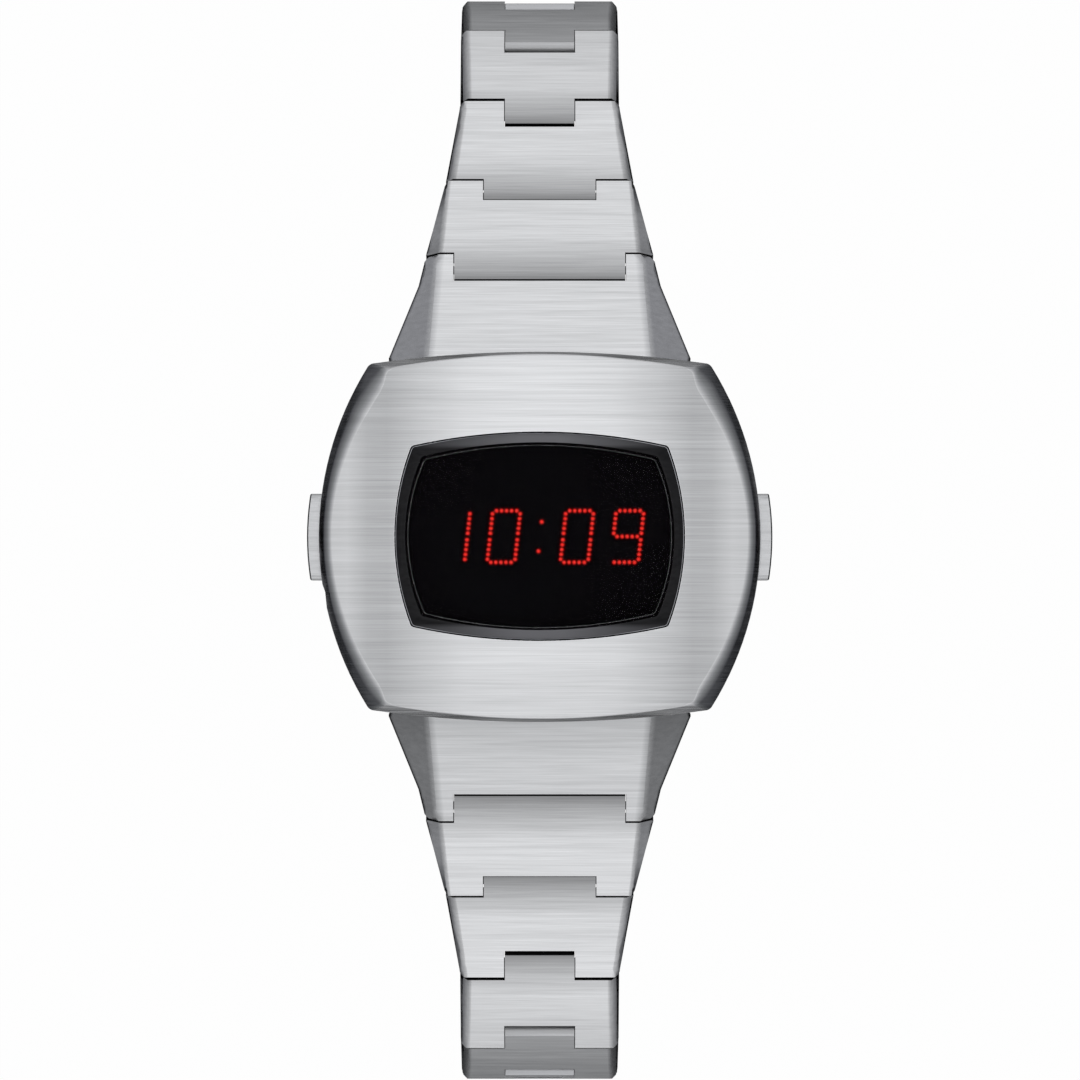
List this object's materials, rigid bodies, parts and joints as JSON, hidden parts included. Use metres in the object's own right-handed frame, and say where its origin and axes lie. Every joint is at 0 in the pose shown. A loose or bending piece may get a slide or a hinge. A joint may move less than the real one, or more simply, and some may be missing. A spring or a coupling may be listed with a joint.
{
  "type": "led watch",
  "caption": "Cushion-cased wristwatch with a red dot display behind dark glass, two side pushers and a tapering steel link bracelet with a folding clasp.",
  "frame": {"origin": "centre of the case back's outer flat face", "axes": "+Z out of the dial, +Y towards 12 o'clock along the bracelet, +X towards 3 o'clock"},
  "size_m": [0.0442, 0.1073, 0.0691],
  "materials": {
    "brushed_case": "brushed stainless steel",
    "brushed_link": "brushed stainless steel",
    "steel_pin": "turned stainless steel",
    "spring_steel": "hard drawn wire",
    "dark_glass": "dark tinted glass, polished",
    "black_rubber": "moulded black seal",
    "black_ceramic": "dark glazed ceramic",
    "lit_dot": "lit red diode",
    "moulded_frame": "moulded black plastic",
    "green_board": "glass fibre laminate",
    "chip_epoxy": "moulded epoxy",
    "plated_can": "plated can",
    "gold_contact": "plated spring strip"
  },
  "bodies": {
    "case": {"case_body": "brushed_case", "crystal": "dark_glass", "crystal_gasket": "black_rubber", "display_board": "black_ceramic", "hour_digits": "lit_dot", "colon_dots": "lit_dot", "minute_digits": "lit_dot", "module_frame": "moulded_frame", "circuit_board": "green_board", "driver_chip": "chip_epoxy", "quartz_can": "plated_can", "trimmer_capacitor": "plated_can", "power_cell_left": "plated_can", "power_cell_right": "plated_can", "cell_contact": "gold_contact", "case_back": "brushed_case", "back_screws": "steel_pin", "left_pusher_spring": "spring_steel", "left_pusher_seal": "black_rubber", "right_pusher_spring": "spring_steel", "right_pusher_seal": "black_rubber", "upper_end_spring_bar": "steel_pin", "lower_end_spring_bar": "steel_pin"},
    "left_pusher": {"left_pusher_button": "brushed_case", "left_pusher_clip": "steel_pin"},
    "right_pusher": {"right_pusher_button": "brushed_case", "right_pusher_clip": "steel_pin"},
    "upper_end_link": {"upper_end_link": "brushed_link", "upper_pin_1": "steel_pin"},
    "lower_end_link": {"lower_end_link": "brushed_link", "lower_pin_1": "steel_pin"},
    "upper_link_2": {"upper_link_2": "brushed_link", "upper_pin_2": "steel_pin"},
    "lower_link_2": {"lower_link_2": "brushed_link", "lower_pin_2": "steel_pin"},
    "upper_link_3": {"upper_link_3": "brushed_link", "upper_pin_3": "steel_pin"},
    "lower_link_3": {"lower_link_3": "brushed_link", "lower_pin_3": "steel_pin"},
    "upper_link_4": {"upper_link_4": "brushed_link", "upper_pin_4": "steel_pin"},
    "lower_link_4": {"lower_link_4": "brushed_link", "lower_pin_4": "steel_pin"},
    "upper_link_5": {"upper_link_5": "brushed_link", "upper_pin_5": "steel_pin"},
    "lower_link_5": {"lower_link_5": "brushed_link", "lower_pin_5": "steel_pin"},
    "upper_link_6": {"upper_link_6": "brushed_link", "upper_pin_6": "steel_pin"},
    "lower_link_6": {"lower_link_6": "brushed_link", "lower_pin_6": "steel_pin"},
    "upper_link_7": {"upper_link_7": "brushed_link"},
    "clasp_inner": {"clasp_inner_blade": "brushed_link", "clasp_fold_pin": "steel_pin"},
    "clasp_middle": {"clasp_middle_blade": "brushed_link"},
    "clasp_cover": {"clasp_cover": "brushed_link", "clasp_cover_pin": "steel_pin", "clasp_spring_bar": "steel_pin"}
  },
  "joints": [
    {"name": "upper_end_link_hinge", "type": "hinge", "parent": "case", "child": "upper_end_link", "pos_m": [0, 0.0149, 0.0064], "axis": [1, 0, 0], "range_deg": [-12, 4]},
    {"name": "upper_link_2_hinge", "type": "hinge", "parent": "upper_end_link", "child": "upper_link_2", "pos_m": [0, 0.02552, 0.00335], "axis": [1, 0, 0], "range_deg": [-26, 9]},
    {"name": "upper_link_3_hinge", "type": "hinge", "parent": "upper_link_2", "child": "upper_link_3", "pos_m": [0, 0.03275, 0.00043], "axis": [1, 0, 0], "range_deg": [-31, 4]},
    {"name": "upper_link_4_hinge", "type": "hinge", "parent": "upper_link_3", "child": "upper_link_4", "pos_m": [0, 0.04067, -0.00293], "axis": [1, 0, 0], "range_deg": [-22, 13]},
    {"name": "upper_link_5_hinge", "type": "hinge", "parent": "upper_link_4", "child": "upper_link_5", "pos_m": [0, 0.04788, -0.00761], "axis": [1, 0, 0], "range_deg": [-1, 34]},
    {"name": "upper_link_6_hinge", "type": "hinge", "parent": "upper_link_5", "child": "upper_link_6", "pos_m": [0, 0.05165, -0.01534], "axis": [1, 0, 0], "range_deg": [-8, 27]},
    {"name": "upper_link_7_hinge", "type": "hinge", "parent": "upper_link_6", "child": "upper_link_7", "pos_m": [0, 0.05195, -0.02394], "axis": [1, 0, 0], "range_deg": [-30, 5]},
    {"name": "lower_end_link_hinge", "type": "hinge", "parent": "case", "child": "lower_end_link", "pos_m": [0, -0.0149, 0.0064], "axis": [1, 0, 0], "range_deg": [-4, 12]},
    {"name": "lower_link_2_hinge", "type": "hinge", "parent": "lower_end_link", "child": "lower_link_2", "pos_m": [0, -0.02552, 0.00335], "axis": [1, 0, 0], "range_deg": [-9, 24]},
    {"name": "lower_link_3_hinge", "type": "hinge", "parent": "lower_link_2", "child": "lower_link_3", "pos_m": [0, -0.03275, 0.00043], "axis": [1, 0, 0], "range_deg": [-3, 30]},
    {"name": "lower_link_4_hinge", "type": "hinge", "parent": "lower_link_3", "child": "lower_link_4", "pos_m": [0, -0.04073, -0.00279], "axis": [1, 0, 0], "range_deg": [-16, 17]},
    {"name": "lower_link_5_hinge", "type": "hinge", "parent": "lower_link_4", "child": "lower_link_5", "pos_m": [0, -0.04777, -0.00772], "axis": [1, 0, 0], "range_deg": [-33, 0]},
    {"name": "lower_link_6_hinge", "type": "hinge", "parent": "lower_link_5", "child": "lower_link_6", "pos_m": [0, -0.05141, -0.01552], "axis": [1, 0, 0], "range_deg": [-26, 7]},
    {"name": "clasp_swing", "type": "hinge", "parent": "lower_link_6", "child": "clasp_inner", "pos_m": [0, -0.05171, -0.02411], "axis": [1, 0, 0], "range_deg": [-12, 24]},
    {"name": "clasp_fold", "type": "hinge", "parent": "clasp_inner", "child": "clasp_middle", "pos_m": [0, -0.04908, -0.05137], "axis": [1, 0, 0], "range_deg": [0, 140]},
    {"name": "clasp_cover_swing", "type": "hinge", "parent": "clasp_middle", "child": "clasp_cover", "pos_m": [0, -0.05264, -0.02693], "axis": [1, 0, 0], "range_deg": [-90, 0]},
    {"name": "left_push", "type": "slide", "parent": "case", "child": "left_pusher", "axis": [1, 0, 0], "range_m": [0, 0.0008], "stiffness_N_per_m": 1200, "springref_m": -0.0004, "deforming": ["left_pusher_spring"]},
    {"name": "right_push", "type": "slide", "parent": "case", "child": "right_pusher", "axis": [-1, 0, 0], "range_m": [0, 0.0008], "stiffness_N_per_m": 1200, "springref_m": -0.0004, "deforming": ["right_pusher_spring"]}
  ]
}
